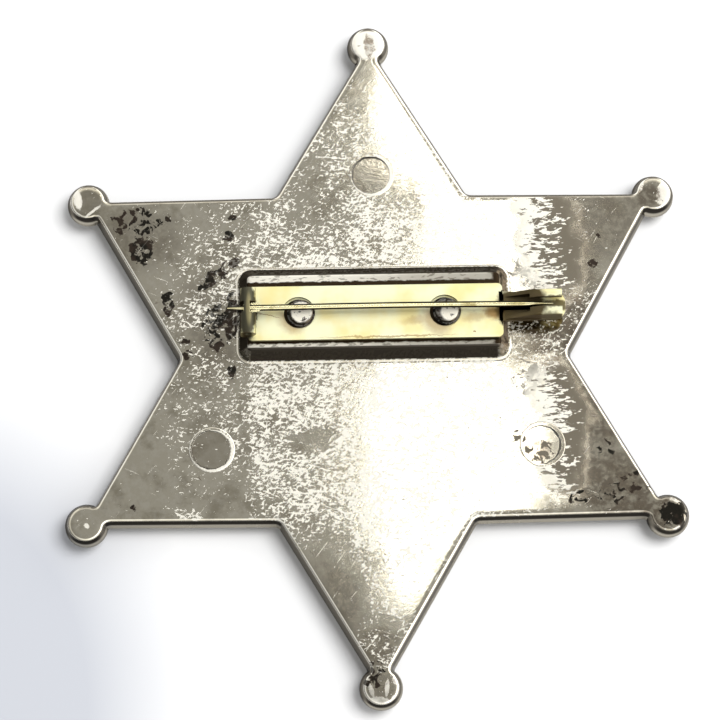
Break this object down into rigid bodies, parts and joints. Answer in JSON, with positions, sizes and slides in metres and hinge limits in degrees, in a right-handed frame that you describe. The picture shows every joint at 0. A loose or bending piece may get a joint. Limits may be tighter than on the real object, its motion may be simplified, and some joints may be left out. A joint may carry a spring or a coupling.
{
  "type": "sheriff star badge",
  "caption": "Flat star badge with a ball on each point, lying on its face, with a brass bar pin, a hinged needle and a folded catch on its back.",
  "frame": {"origin": "middle of the star, on the surface that the ball tips rest on", "axes": "+Z out of the back, where the pin is; +Y towards the point above the pin; +X towards the catch"},
  "size_m": [0.0694, 0.0794, 0.0082],
  "materials": {
    "plated_casting": "worn nickel plate on a zinc casting, scratched and tarnished",
    "brass_sheet": "pale stamped brass with brown stains",
    "brass_wire": "drawn wire, dulled"
  },
  "bodies": {
    "badge": {"star": "plated_casting", "pin_bar": "brass_sheet"},
    "needle": {"needle": "brass_wire"}
  },
  "joints": [
    {"name": "needle_hinge", "type": "hinge", "parent": "badge", "child": "needle", "pos_m": [-0.014, 0.00475, 0.0073], "axis": [0, -1, 0], "range_deg": [0, 45]}
  ]
}
